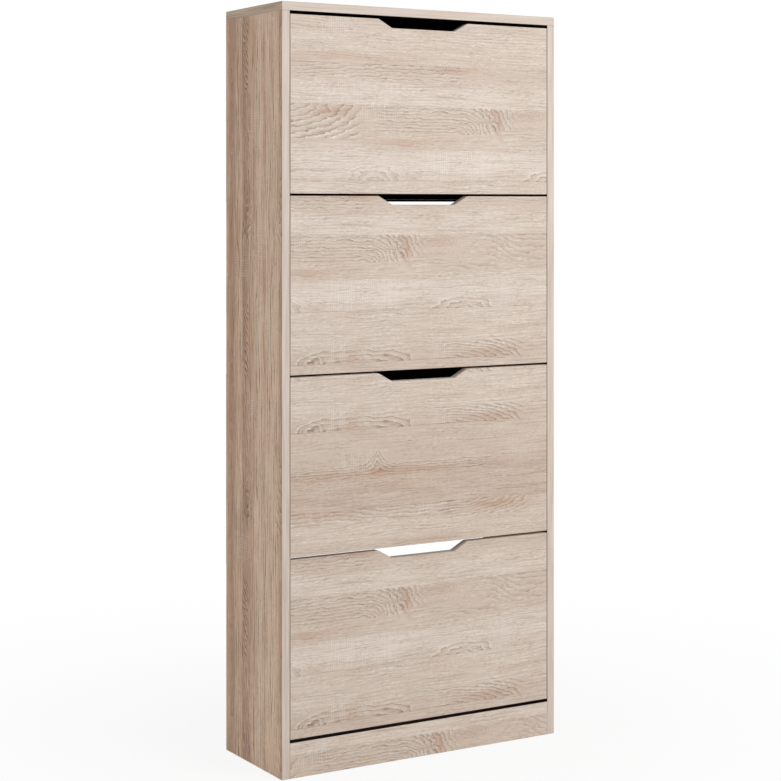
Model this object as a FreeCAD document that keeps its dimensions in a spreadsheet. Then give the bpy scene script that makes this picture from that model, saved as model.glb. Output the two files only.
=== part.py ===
import FreeCAD, Part
import Sketcher
import math
import os
from types import SimpleNamespace

# Slim shoe cabinet: two full-height sides, a top laid over them and four drop-front flaps.
# Each flap carries a two-tier shoe rack and swings on two pins near its lower edge.
# Frame: +Z up, front at -Y, origin on the floor under the middle of the cabinet.

SIZES = [
    ("width", 600, "over the outer faces of the side panels"),
    ("depth", 230, "front edge to the rear face of the back sheets"),
    ("height", 1400, "floor to the top of the top panel"),
    ("board", 16, "thickness of the melamine boards"),
    ("sheet", 3, "thickness of the back sheets"),
    ("plinth", 64, "height of the plinth board and of the base panel's upper face"),
    ("flap_count", 4, "flaps, one above the other"),
    ("top_gap", 6, "between the top panel and the highest flap"),
    ("flap_gap", 4, "between one flap and the next"),
    ("plinth_gap", 6, "between the lowest flap and the plinth"),
    ("side_gap", 1, "between a flap's end and a side panel"),
    ("notch_top", 196, "width of the finger notch at the flap's upper edge"),
    ("notch_floor", 138, "width of the finger notch at its floor"),
    ("notch_depth", 16, "depth of the finger notch"),
    ("notch_lip", 9, "radius of the notch's upper corners"),
    ("notch_root", 6, "radius of the notch's lower corners"),
    ("swing_clear", 0.75, "left of a flap gap when the flap's lower edge dips in opening"),
    ("opening", 40, "angle through which a flap swings out, in degrees"),
    ("rack_clear", 4, "rack's sweep clear of the rear rails and of the closing buffers"),
    ("rack_drop", 58, "rack bracket below the hinge axis"),
    ("crown_short", 44, "bracket's rear corner below the top of its sweep"),
    ("climb_short", 16, "bracket's front corner below the top of its sweep"),
    ("plate", 3, "thickness of a bracket's plate"),
    ("flange_wide", 22, "width of the bracket's screw flange"),
    ("flange_thick", 2.5, "thickness of the screw flange"),
    ("ledge", 12, "width of the bracket's ledges"),
    ("rib", 4, "thickness of the bracket's ledges"),
    ("tray", 8, "thickness of the rack's boards"),
    ("front_floor", 44, "upper face of the front tier's floor below the hinge axis"),
    ("rear_tier", 68, "clear depth of the rear tier"),
    ("divider_short", 66, "top of the divider below the top of the rack's sweep"),
    ("rear_floor", 6, "upper face of the rear tier's floor above the hinge axis"),
    ("rear_short", 16, "rear face of the rear lip inside the rack's sweep"),
    ("lip_tall", 56, "height of the rear lip over the rear tier's floor"),
    ("pin", 4, "radius of the hinge pin's journal"),
    ("pin_fit", 0.06, "radial running clearance on the hinge pin"),
    ("pin_boss", 6.7, "radius of the bracket's boss round the hinge pin"),
    ("boss_clear", 0.3, "between that boss and the flap's rear face"),
    ("boss_long", 8, "length of that boss"),
    ("guide_reach", 64, "guide pin's distance from the hinge axis"),
    ("guide", 3.5, "radius of the guide pin's journal"),
    ("guide_fit", 0.3, "clearance of the guide pin in its slot"),
    ("shank", 3, "radius of the part of a pin that sits in the side panel"),
    ("shank_long", 11, "depth to which a pin enters the side panel"),
    ("collar", 6, "radius of a pin's collar"),
    ("collar_thick", 1.5, "thickness of that collar"),
    ("side_play", 0.5, "between a pin's collar and the bracket"),
    ("seat_fit", 0.05, "radial clearance of a fastener in its hole"),
    ("ease", 0.3, "hole deeper than its fastener, and a rack board clear of the flange"),
    ("rail", 60, "height of a rear rail"),
    ("rail_inset", 4, "rail's free edge inside the edge of its back sheet"),
    ("upper_sheet", 360, "height of the upper back sheet"),
    ("lower_sheet", 360, "height of the lower back sheet"),
    ("sheet_gap", 328, "open height between the two back sheets"),
    ("sheet_inset", 1, "back sheet inside the cabinet's outline"),
    ("cam", 7.5, "radius of a cam housing"),
    ("cam_deep", 12.5, "depth of a cam housing"),
    ("cam_back", 24, "cam's axis from the joint that it pulls tight"),
    ("bolt", 3, "radius of a cam bolt"),
    ("bolt_in", 10, "depth to which a cam bolt enters the other board"),
    ("dowel", 4, "radius of a wooden dowel"),
    ("dowel_in", 10, "dowel's depth in a board's face"),
    ("dowel_on", 20, "dowel's depth in a board's edge"),
    ("edge_set", 40, "first fastener from the front or rear edge of a side panel"),
    ("dowel_set", 32, "dowel from the cam beside it"),
    ("plinth_spread", 146, "outer dowels behind the plinth from the cabinet's middle"),
    ("nail", 0.75, "radius of a back sheet nail"),
    ("nail_long", 14, "nail's length in the board"),
    ("nail_set", 8, "nail from the edge of its back sheet"),
    ("nail_spread", 170, "outer nails of a level row from the cabinet's middle"),
    ("nail_rows", 4, "nails up each side of a back sheet"),
    ("nail_head", 2.2, "radius of the nail's head"),
    ("head_thick", 0.8, "thickness of the nail's head"),
    ("screw", 1.9, "radius of a flange screw"),
    ("screw_long", 12, "flange screw's length in the flap"),
    ("screw_head", 3.8, "radius of the flange screw's head"),
    ("screw_edge", 3, "flange screw's head from the flange's edge"),
    ("screw_set", 8, "end flange screws from the front shelf and from the bracket's top"),
    ("screw_cap", 2, "thickness of the flange screw's head"),
    ("tack", 1.5, "radius of a tray screw"),
    ("tack_long", 20, "tray screw's length in its board"),
    ("tack_head", 2.7, "radius of the tray screw's sunk head"),
    ("tack_cap", 1.6, "thickness of the tray screw's sunk head"),
    ("buffer", 6, "how far a closing buffer stands out from the side panel"),
    ("buffer_deep", 8, "buffer's depth behind the flap"),
    ("buffer_tall", 16, "buffer's height"),
    ("buffer_drop", 22, "top of the buffer below the flap's upper edge"),
    ("rest_gap", 0.3, "between the closed flap and its buffers"),
    ("anchor_half", 200, "wall bracket's distance from the middle of the cabinet"),
    ("anchor_wide", 20, "width of a wall bracket"),
    ("anchor_leg", 30, "height of the wall bracket's upright leg"),
    ("anchor_arm", 24, "depth of the wall bracket's level leg"),
    ("anchor_thick", 2, "thickness of a wall bracket"),
    ("anchor_hole", 2.75, "radius of the hole for the wall screw"),
    ("anchor_drop", 19, "wall screw's axis below the top panel"),
    ("block", 20, "width and depth of a glue block behind the plinth"),
    ("block_lift", 4, "glue block's lower face above the floor"),
]

doc = FreeCAD.newDocument("shoe_cabinet")
sheet = doc.addObject("Spreadsheet::Sheet", "Sizes")
for row, (alias, number, meaning) in enumerate(SIZES, start=1):
    sheet.set(f"A{row}", meaning)
    sheet.set(f"B{row}", str(number))
    sheet.setAlias(f"B{row}", alias)
doc.recompute()


class Size:
    """A length that knows both its formula in the sheet's cells and its present value."""

    def __init__(self, formula, value):
        self.formula = formula
        self.value = value

    def __add__(self, other):
        other = as_size(other)
        return Size(f"({self.formula} + {other.formula})", self.value + other.value)

    def __sub__(self, other):
        other = as_size(other)
        return Size(f"({self.formula} - {other.formula})", self.value - other.value)

    def __mul__(self, other):
        other = as_size(other)
        return Size(f"({self.formula} * {other.formula})", self.value * other.value)

    def __truediv__(self, other):
        other = as_size(other)
        return Size(f"({self.formula} / {other.formula})", self.value / other.value)

    def __neg__(self):
        return Size(f"(0 - {self.formula})", -self.value)

    def __radd__(self, other):
        return as_size(other) + self

    def __rsub__(self, other):
        return as_size(other) - self

    def __rmul__(self, other):
        return as_size(other) * self


def as_size(number):
    """Turn a plain number into a Size, and leave a Size as it is."""
    return number if isinstance(number, Size) else Size(str(number), float(number))


def root(size):
    """The square root of a Size."""
    return Size(f"sqrt({size.formula})", size.value ** 0.5)


def smaller(one, other):
    """The smaller of two Sizes."""
    return Size(f"min({one.formula}; {other.formula})", min(one.value, other.value))


def turn(length, angle):
    """The level and upright parts of a length laid at an angle in degrees."""
    slope = math.radians(angle.value)
    level = Size(f"({length.formula} * cos({angle.formula}))", length.value * math.cos(slope))
    upright = Size(f"({length.formula} * sin({angle.formula}))", length.value * math.sin(slope))
    return level, upright


g = SimpleNamespace(
    **{alias: Size(f"Sizes.{alias}", float(getattr(sheet, alias))) for alias, _, _ in SIZES}
)

# Planes that several pieces share.
front = -g.depth / 2
back = g.depth / 2 - g.sheet
behind_flap = front + g.board
half = g.width / 2
inner = half - g.board
under_top = g.height - g.board
stack = under_top - g.plinth - g.top_gap - g.plinth_gap - (g.flap_count - 1) * g.flap_gap
flap_tall = stack / g.flap_count
flap_half = inner - g.side_gap
plate_face = inner - g.collar_thick - g.side_play
plate_back = plate_face - g.plate
upper_edge = g.height - g.upper_sheet
lower_edge = upper_edge - g.sheet_gap
bottom_edge = lower_edge - g.lower_sheet
flaps = range(1, int(sheet.flap_count) + 1)

# The hinge axis lies just behind the flap, and so high that the swinging lower edge, which dips
# by root(back ** 2 + rise ** 2) - rise, stays inside the gap below it.
hinge_back = g.board + g.pin_boss + g.boss_clear
axis_y = front + hinge_back
dip = g.flap_gap - g.swing_clear
hinge_rise = (hinge_back * hinge_back - dip * dip) / (2 * dip)

# The rack swings inside the smaller of two reaches: to the rear rails and to the buffers.
rail_front = back - g.board
to_rails = rail_front - axis_y - g.rack_clear
to_buffers = flap_tall - hinge_rise - g.buffer_drop - g.buffer_tall - g.rack_clear
rack_reach = smaller(to_rails, to_buffers)
rear_end = rack_reach - g.rear_short
divider_back = rear_end - g.rear_tier - 2 * g.tray
guide_y, guide_z = turn(g.guide_reach, g.opening / 2)


def flap_bottom(number):
    """Height of a flap's lower edge; flap 1 is the highest."""
    return under_top - g.top_gap - number * flap_tall - (number - 1) * g.flap_gap


def axis_z(number):
    """Height of a flap's hinge axis."""
    return flap_bottom(number) + hinge_rise


nodes = []
LEAST_CUT = 1


def node(thing, label):
    """Give a finished sub-part its own label and put it on the list of sub-parts."""
    thing.Label = label
    nodes.append(thing)
    return thing


def bind(thing, path, size):
    """Tie one value of an object to a formula of the sheet."""
    thing.setExpression(path, as_size(size).formula)


def place(thing, x, y, z):
    """Tie an object's place to formulas of the sheet."""
    bind(thing, "Placement.Base.x", x)
    bind(thing, "Placement.Base.y", y)
    bind(thing, "Placement.Base.z", z)


def box(name, low, high):
    """A block between its lowest and its highest corner."""
    block = doc.addObject("Part::Box", name)
    for edge, start, end in zip(("Length", "Width", "Height"), low, high):
        bind(block, edge, end - start)
    place(block, *low)
    return block


def rod(name, radius, length, start, way):
    """A cylinder from a start point along one axis, such as way = (0, 0, 1)."""
    cylinder = doc.addObject("Part::Cylinder", name)
    bind(cylinder, "Radius", radius)
    bind(cylinder, "Height", length)
    cylinder.Placement.Rotation = FreeCAD.Rotation(FreeCAD.Vector(0, 0, 1), FreeCAD.Vector(*way))
    place(cylinder, *start)
    return cylinder


def fuse(name, pieces):
    """One solid, or several apart, from pieces that may overlap."""
    joined = doc.addObject("Part::MultiFuse", name)
    joined.Shapes = pieces
    return joined


def cut(name, base, tool):
    """A piece with a tool taken away from it."""
    rest = doc.addObject("Part::Cut", name)
    rest.Base = base
    rest.Tool = tool
    return rest


def group(name, pieces):
    """Separate solids kept together in one sub-part."""
    together = doc.addObject("Part::Compound", name)
    together.Links = pieces
    return together


def stepped(name, parts, start, way):
    """Cylinders end to end along one axis, each given as radius and length."""
    pieces = []
    for step, (radius, length) in enumerate(parts):
        pieces.append(rod(f"{name}_{step}", radius, length, start, way))
        start = [at + length * along for at, along in zip(start, way)]
    return fuse(name, pieces) if len(pieces) > 1 else pieces[0]


def new_sketch(body, name, role):
    """A sketch on one of its own body's origin planes."""
    drawing = body.newObject("Sketcher::SketchObject", name)
    plane = [flat for flat in body.Origin.OriginFeatures if flat.Role == role][0]
    drawing.AttachmentSupport = (plane, [""])
    drawing.MapMode = "FlatFace"
    return drawing


def pin_point(drawing, name, geometry, end, across, up):
    """Hold one point of a sketch at two distances from the sketch's origin."""
    for kind, letter, size in (("DistanceX", "x", across), ("DistanceY", "y", up)):
        mark = Sketcher.Constraint(kind, -1, 1, geometry, end, size.value)
        place_in_list = drawing.addConstraint(mark)
        drawing.renameConstraint(place_in_list, f"{name}_{letter}")
        bind(drawing, f"Constraints.{name}_{letter}", size)


def outline(drawing, name, corners):
    """A closed outline of straight lines through its corners."""
    corners = [(as_size(across), as_size(up)) for across, up in corners]
    points = [FreeCAD.Vector(across.value, up.value, 0) for across, up in corners]
    first = drawing.GeometryCount
    for at, point in enumerate(points):
        after = points[(at + 1) % len(points)]
        drawing.addGeometry(Part.LineSegment(point, after), False)
    for at, (across, up) in enumerate(corners):
        after = (at + 1) % len(points)
        drawing.addConstraint(Sketcher.Constraint("Coincident", first + at, 2, first + after, 1))
        pin_point(drawing, f"{name}{at}", first + at, 1, across, up)


def circle(drawing, name, radius, across, up):
    """A circle with its radius and centre tied to the sheet."""
    radius = as_size(radius)
    across = as_size(across)
    up = as_size(up)
    centre = FreeCAD.Vector(across.value, up.value, 0)
    ring = Part.Circle(centre, FreeCAD.Vector(0, 0, 1), radius.value)
    at = drawing.addGeometry(ring, False)
    place_in_list = drawing.addConstraint(Sketcher.Constraint("Radius", at, radius.value))
    drawing.renameConstraint(place_in_list, f"{name}_r")
    bind(drawing, f"Constraints.{name}_r", radius)
    pin_point(drawing, name, at, 3, across, up)


def pad(body, drawing, name, length):
    """Raise a sketch along its plane's normal."""
    feature = body.newObject("PartDesign::Pad", name)
    feature.Profile = drawing
    bind(feature, "Length", length)
    return feature


def pocket(body, drawing, name, length, backwards):
    """Sink a sketch into the body and check that it took material away."""
    doc.recompute()
    before = body.Shape.Volume
    feature = body.newObject("PartDesign::Pocket", name)
    feature.Profile = drawing
    feature.Reversed = backwards
    bind(feature, "Length", length)
    doc.recompute()
    if not body.Shape.Volume < before - LEAST_CUT:
        raise RuntimeError(f"{name} cuts nothing")
    return feature


# ---- carcass joinery: every fastener, and the hole that takes it ----

SIDES = ((-1, "left"), (1, "right"))
bolts = []
housings = []
dowels = []
nails = []
hinge_pins = []
guide_pins = []
holes = []
bolt_holes = []


def fasten(kind, name, parts, start, way):
    """Add one fastener of stepped cylinders to its group, and its clearance hole."""
    kind.append(stepped(name, parts, start, way))
    wide = [(radius + g.seat_fit, length) for radius, length in parts]
    wide[-1] = (wide[-1][0], wide[-1][1] + g.ease)
    holes.append(stepped(f"{name}_hole", wide, start, way))
    return holes[-1]


def cam_joint(name, seam, way, face, face_way):
    """A cam bolt through a seam along way, and the housing sunk from a face that draws it."""
    begin = [at - g.bolt_in * along for at, along in zip(seam, way)]
    tight = fasten(bolts, f"{name}_bolt", [(g.bolt, g.bolt_in + g.cam_back)], begin, way)
    bolt_holes.append(tight)
    fasten(housings, f"{name}_cam", [(g.cam, g.cam_deep)], face, face_way)


def dowel_joint(name, seam, way):
    """A dowel through a seam, short in the board's face and long in the other's edge."""
    begin = [at - g.dowel_in * along for at, along in zip(seam, way)]
    fasten(dowels, f"{name}_dowel", [(g.dowel, g.dowel_in + g.dowel_on)], begin, way)


def across_depth(name):
    """Two cam places and two dowel places along the depth of a side panel."""
    return (
        (f"{name}_front", front + g.edge_set, front + g.edge_set + g.dowel_set),
        (f"{name}_rear", back - g.edge_set, back - g.edge_set - g.dowel_set),
    )


for sign, side in SIDES:
    middle = sign * (half - g.board / 2)
    for name, cam_y, dowel_y in across_depth(f"top_{side}"):
        cam_joint(
            name,
            (middle, cam_y, under_top),
            (0, 0, -1),
            (sign * inner, cam_y, under_top - g.cam_back),
            (sign, 0, 0),
        )
        dowel_joint(name, (middle, dowel_y, under_top), (0, 0, -1))
    for name, cam_y, dowel_y in across_depth(f"base_{side}"):
        base_mid = g.plinth - g.board / 2
        cam_joint(
            name,
            (sign * inner, cam_y + g.board, base_mid),
            (-sign, 0, 0),
            (sign * (inner - g.cam_back), cam_y + g.board, g.plinth - g.board),
            (0, 0, 1),
        )
        dowel_joint(name, (sign * inner, dowel_y + g.board, base_mid), (-sign, 0, 0))
    dowel_joint(
        f"plinth_{side}", (sign * inner, front + g.board / 2, g.plinth / 2), (-sign, 0, 0)
    )

for place_name, share in (("left", -1), ("middle", 0), ("right", 1)):
    seam = (share * g.plinth_spread, behind_flap, g.plinth - g.board / 2)
    dowel_joint(f"plinth_front_{place_name}", seam, (0, 1, 0))

# ---- rear rails and the back sheets that they stiffen ----

RAILS = (
    ("upper_rear_rail", upper_edge + g.rail_inset),
    ("middle_rear_rail", lower_edge - g.rail_inset - g.rail),
    ("lower_rear_rail", bottom_edge + g.rail_inset),
)
for name, low in RAILS:
    rail_mid = low + g.rail / 2
    for sign, side in SIDES:
        cam_joint(
            f"{name}_{side}",
            (sign * inner, back - g.board / 2, rail_mid),
            (-sign, 0, 0),
            (sign * (inner - g.cam_back), rail_front, rail_mid),
            (0, 1, 0),
        )

sheet_half = half - g.sheet_inset
sheet_back = back + g.sheet
SHEETS = (
    ("upper_back_sheet", upper_edge, g.height - g.sheet_inset),
    ("lower_back_sheet", bottom_edge, lower_edge),
)


def drive_nail(name, x, z):
    """A nail through a back sheet, its head sunk flush."""
    parts = [(g.nail_head, g.head_thick), (g.nail, g.nail_long)]
    fasten(nails, name, parts, (x, sheet_back, z), (0, -1, 0))


for name, low, high in SHEETS:
    rows = int(sheet.nail_rows)
    pitch = (high - low - 2 * g.nail_set) / (g.nail_rows - 1)
    for step in range(rows):
        level = low + g.nail_set + step * pitch
        for sign, side in SIDES:
            drive_nail(f"{name}_nail_{side}_{step}", sign * (half - g.board / 2), level)
for name, level in (
    ("top_nail", g.height - g.board / 2),
    ("upper_rail_nail", RAILS[0][1] + g.rail / 2),
    ("middle_rail_nail", RAILS[1][1] + g.rail / 2),
    ("lower_rail_nail", RAILS[2][1] + g.rail / 2),
):
    for step in (-1, 0, 1):
        drive_nail(f"{name}_{step + 1}", step * g.nail_spread, level)

# ---- pins that the flaps swing on, one pair of each for every flap ----

for number in flaps:
    for sign, side in SIDES:
        hinge_parts = [
            (g.pin, g.side_play + g.boss_long),
            (g.collar, g.collar_thick),
            (g.shank, g.shank_long),
        ]
        guide_parts = [
            (g.guide, g.side_play + g.plate),
            (g.collar, g.collar_thick),
            (g.shank, g.shank_long),
        ]
        hinge_start = (sign * (plate_face - g.boss_long), axis_y, axis_z(number))
        guide_start = (sign * plate_back, axis_y + guide_y, axis_z(number) + guide_z)
        fasten(hinge_pins, f"hinge_pin_{side}_{number}", hinge_parts, hinge_start, (sign, 0, 0))
        fasten(guide_pins, f"guide_pin_{side}_{number}", guide_parts, guide_start, (sign, 0, 0))

# ---- wall brackets: the level leg under the top panel, the upright leg on the back sheet ----

brackets = []
bracket_screws = []
for sign, side in SIDES:
    middle = sign * g.anchor_half
    low_x = middle - g.anchor_wide / 2
    high_x = middle + g.anchor_wide / 2
    leg = box(
        f"anchor_leg_{side}",
        (low_x, back - g.anchor_thick, under_top - g.anchor_leg),
        (high_x, back, under_top),
    )
    arm = box(
        f"anchor_arm_{side}",
        (low_x, back - g.anchor_arm, under_top - g.anchor_thick),
        (high_x, back, under_top),
    )
    angle = fuse(f"anchor_{side}", [leg, arm])
    wall_hole = rod(
        f"wall_hole_{side}",
        g.anchor_hole,
        g.board,
        (middle, back - g.board / 2, under_top - g.anchor_drop),
        (0, 1, 0),
    )
    holes.append(wall_hole)
    screw_y = back - g.anchor_arm / 2 - g.anchor_thick
    screw_parts = [
        (g.screw_head, g.screw_cap),
        (g.screw, g.anchor_thick + g.screw_long),
    ]
    screw_hole = fasten(
        bracket_screws,
        f"anchor_screw_{side}",
        screw_parts,
        (middle, screw_y, under_top - g.anchor_thick - g.screw_cap),
        (0, 0, 1),
    )
    bored = fuse(f"anchor_bores_{side}", [wall_hole, screw_hole])
    brackets.append(cut(f"wall_bracket_{side}", angle, bored))

drilling = fuse("drilling", holes)

# ---- carcass boards ----


def board(label, low, high):
    """A carcass board with every hole that meets it."""
    return node(cut(f"cut_{label}", box(f"blank_{label}", low, high), drilling), label)


board("left_side_panel", (-half, front, as_size(0)), (-inner, back, under_top))
board("right_side_panel", (inner, front, as_size(0)), (half, back, under_top))
board("top_panel", (-half, front, under_top), (half, back, g.height))
board("base_panel", (-inner, behind_flap, g.plinth - g.board), (inner, back, g.plinth))
board("plinth_board", (-inner, front, as_size(0)), (inner, behind_flap, g.plinth))
for name, low in RAILS:
    board(name, (-inner, rail_front, low), (inner, back, low + g.rail))
for name, low, high in SHEETS:
    board(name, (-sheet_half, back, low), (sheet_half, sheet_back, high))

glue_blocks = []
for sign, side in SIDES:
    near = sign * inner
    far = sign * (inner - g.block)
    low_x, high_x = (near, far) if sign < 0 else (far, near)
    glue_blocks.append(
        box(
            f"glue_block_{side}",
            (low_x, behind_flap, g.block_lift),
            (high_x, behind_flap + g.block, g.plinth - g.board),
        )
    )
node(group("glue_block_group", glue_blocks), "plinth_glue_blocks")

node(group("bolt_group", bolts), "cam_bolts")
housing_blanks = group("housing_blanks", housings)
node(cut("housing_group", housing_blanks, fuse("bolt_bores", bolt_holes)), "cam_housings")
node(group("dowel_group", dowels), "wooden_dowels")
node(group("nail_group", nails), "back_sheet_nails")
node(group("hinge_pin_group", hinge_pins), "hinge_pins")
node(group("guide_pin_group", guide_pins), "guide_pins")
node(group("bracket_group", brackets), "wall_brackets")
node(group("bracket_screw_group", bracket_screws), "wall_bracket_screws")

buffers = []
for number in flaps:
    high_z = flap_bottom(number) + flap_tall - g.buffer_drop
    low_y = behind_flap + g.rest_gap
    for sign, side in SIDES:
        near = sign * inner
        far = sign * (inner - g.buffer)
        low_x, high_x = (near, far) if sign < 0 else (far, near)
        low = (low_x, low_y, high_z - g.buffer_tall)
        high = (high_x, low_y + g.buffer_deep, high_z)
        buffers.append(box(f"buffer_{side}_{number}", low, high))
node(group("buffer_group", buffers), "closing_buffers")

# ---- one flap with its rack ----

rack_climb = rack_reach - g.climb_short
rack_crown = rack_reach - g.crown_short
flap_back = behind_flap - axis_y
flange_back = flap_back + g.flange_thick
screw_x = plate_face - g.flange_wide + g.screw_head + g.screw_edge
SCREW_LEVELS = (
    -g.front_floor + g.screw_set,
    (rack_climb - g.rack_drop) / 2,
    rack_climb - g.screw_set,
)
floor_low = -g.front_floor - g.tray
rear_low = g.rear_floor - g.tray
divider_end = divider_back + g.tray
lip_front = rear_end - g.tray
TRAYS = (
    ("front_shelf", flange_back + g.ease, floor_low, divider_back, -g.front_floor),
    ("rack_divider", divider_back, floor_low, divider_end, rack_reach - g.divider_short),
    ("rear_shelf", divider_end, rear_low, rear_end, g.rear_floor),
    ("rear_lip", lip_front, g.rear_floor, rear_end, g.rear_floor + g.lip_tall),
)


def flap_panel(number):
    """The flap's board with its finger notch, and blind holes for the rack's screws."""
    body = doc.addObject("PartDesign::Body", f"flap_panel_body_{number}")
    face = new_sketch(body, f"flap_face_{number}", "XZ_Plane")
    rim = g.notch_top / 2
    floor = g.notch_floor / 2
    sunk = flap_tall - g.notch_depth
    corners = [
        (-flap_half, 0), (flap_half, 0), (flap_half, flap_tall), (rim, flap_tall),
        (floor, sunk), (-floor, sunk), (-rim, flap_tall), (-flap_half, flap_tall),
    ]
    outline(face, "corner", corners)
    slab = pad(body, face, f"flap_slab_{number}", g.board)
    doc.recompute()
    base = slab
    for name, reach, level, radius in (
        ("lip", rim, flap_tall, g.notch_lip), ("root", floor, sunk, g.notch_root),
    ):
        edges = []
        for at, edge in enumerate(base.Shape.Edges, start=1):
            middle = edge.CenterOfMass
            near = abs(abs(middle.x) - reach.value) < 0.01 and abs(middle.z - level.value) < 0.01
            if near and abs(edge.Length - g.board.value) < 0.01:
                edges.append(f"Edge{at}")
        rounding = body.newObject("PartDesign::Fillet", f"notch_{name}_{number}")
        rounding.Base = (base, edges)
        bind(rounding, "Radius", radius)
        doc.recompute()
        base = rounding
    bores = new_sketch(body, f"flap_bores_{number}", "XZ_Plane")
    for level_at, level in enumerate(SCREW_LEVELS):
        for sign, side in SIDES:
            name = f"{side}{level_at}"
            circle(bores, name, g.screw + g.seat_fit, sign * screw_x, hinge_rise + level)
    pocket(body, bores, f"flap_pilots_{number}", g.screw_long + g.ease, True)
    place(body, 0, behind_flap, flap_bottom(number))
    return node(body, f"flap_panel_{number}")


def rack_bracket(number):
    """The left bracket: plate, screw flange, ledges, hinge boss and the guide pin's slot."""
    body = doc.addObject("PartDesign::Body", f"bracket_body_{number}")
    low_y = root(rack_reach * rack_reach - g.rack_drop * g.rack_drop)
    high_y = root(rack_reach * rack_reach - rack_crown * rack_crown)
    side_view = new_sketch(body, f"bracket_side_{number}", "YZ_Plane")
    front_low = (flap_back, -g.rack_drop)
    rear_low_corner = (low_y, -g.rack_drop)
    rear_high_corner = (high_y, rack_crown)
    front_high = (flap_back, rack_climb)
    corners = (front_low, rear_low_corner, rear_high_corner, front_high)
    points = [FreeCAD.Vector(y.value, z.value, 0) for y, z in corners]
    middle = FreeCAD.Vector(rack_reach.value, 0, 0)
    side_view.addGeometry(Part.LineSegment(points[0], points[1]), False)
    side_view.addGeometry(Part.Arc(points[1], middle, points[2]), False)
    side_view.addGeometry(Part.LineSegment(points[2], points[3]), False)
    side_view.addGeometry(Part.LineSegment(points[3], points[0]), False)
    for one, end, other, start in ((0, 2, 1, 1), (1, 2, 2, 1), (2, 2, 3, 1), (3, 2, 0, 1)):
        side_view.addConstraint(Sketcher.Constraint("Coincident", one, end, other, start))
    side_view.addConstraint(Sketcher.Constraint("Coincident", 1, 3, -1, 1))
    pin_point(side_view, "front_low", 0, 1, *front_low)
    pin_point(side_view, "front_high", 3, 1, *front_high)
    pin_point(side_view, "rear_low", 0, 2, *rear_low_corner)
    mark = side_view.addConstraint(
        Sketcher.Constraint("DistanceY", -1, 1, 2, 1, rack_crown.value)
    )
    side_view.renameConstraint(mark, "crown")
    bind(side_view, "Constraints.crown", rack_crown)
    pad(body, side_view, f"bracket_plate_{number}", g.plate)

    flange = new_sketch(body, f"bracket_flange_view_{number}", "YZ_Plane")
    flange_foot = -g.rack_drop
    outline(flange, "corner", [
        (flap_back, flange_foot), (flange_back, flange_foot),
        (flange_back, rack_climb), (flap_back, rack_climb),
    ])
    pad(body, flange, f"bracket_flange_{number}", g.flange_wide)

    ledges = new_sketch(body, f"bracket_ledge_view_{number}", "YZ_Plane")
    outline(ledges, "front", [
        (flange_back, floor_low - g.rib), (divider_end, floor_low - g.rib),
        (divider_end, floor_low), (flange_back, floor_low),
    ])
    outline(ledges, "rear", [
        (divider_end, rear_low - g.rib - g.ledge), (divider_end + g.rib, rear_low - g.rib - g.ledge),
        (divider_end + g.rib, rear_low - g.rib), (rear_end, rear_low - g.rib),
        (rear_end, rear_low), (divider_end, rear_low),
    ])
    pad(body, ledges, f"bracket_ledges_{number}", g.ledge)

    boss = new_sketch(body, f"bracket_boss_view_{number}", "YZ_Plane")
    circle(boss, "boss", g.pin_boss, 0, 0)
    pad(body, boss, f"bracket_boss_{number}", g.boss_long)

    bore = new_sketch(body, f"bracket_bore_view_{number}", "YZ_Plane")
    circle(bore, "bore", g.pin + g.pin_fit, 0, 0)
    pocket(body, bore, f"bracket_bore_{number}", g.boss_long, True)

    slot_half = g.guide + g.guide_fit
    section = new_sketch(body, f"slot_section_{number}", "XY_Plane")
    outline(section, "corner", [
        (0, g.guide_reach - slot_half), (g.plate, g.guide_reach - slot_half),
        (g.plate, g.guide_reach + slot_half), (0, g.guide_reach + slot_half),
    ])
    doc.recompute()
    before = body.Shape.Volume
    sweep = body.newObject("PartDesign::Groove", f"bracket_slot_{number}")
    sweep.Profile = section
    sweep.ReferenceAxis = (section, ["H_Axis"])
    sweep.Midplane = True
    bind(sweep, "Angle", g.opening)
    doc.recompute()
    if not body.Shape.Volume < before - LEAST_CUT:
        raise RuntimeError("the guide slot cuts nothing")
    ends = new_sketch(body, f"slot_ends_view_{number}", "YZ_Plane")
    circle(ends, "high", slot_half, guide_y, guide_z)
    circle(ends, "low", slot_half, guide_y, -guide_z)
    pocket(body, ends, f"slot_ends_{number}", g.plate, True)

    drills = new_sketch(body, f"flange_drill_view_{number}", "XZ_Plane")
    for at, level in enumerate(SCREW_LEVELS):
        circle(drills, f"drill{at}", g.screw + g.seat_fit, plate_face - screw_x, level)
    pocket(body, drills, f"flange_drills_{number}", -flap_back, True)

    sinks = new_sketch(body, f"tack_sink_view_{number}", "YZ_Plane")
    bores = new_sketch(body, f"tack_bore_view_{number}", "YZ_Plane")
    for name, low_y, low_z, high_y, high_z in TRAYS:
        centre = ((low_y + high_y) / 2, (low_z + high_z) / 2)
        circle(sinks, name, g.tack_head + g.seat_fit, *centre)
        circle(bores, name, g.tack + g.seat_fit, *centre)
    pocket(body, sinks, f"tack_sinks_{number}", g.tack_cap, True)
    pocket(body, bores, f"tack_bores_{number}", g.plate, True)

    place(body, -plate_face, axis_y, axis_z(number))
    left = node(body, f"left_rack_bracket_{number}")
    right = doc.addObject("Part::Mirroring", f"bracket_mirror_{number}")
    right.Source = left
    right.Normal = FreeCAD.Vector(1, 0, 0)
    node(right, f"right_rack_bracket_{number}")


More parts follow.
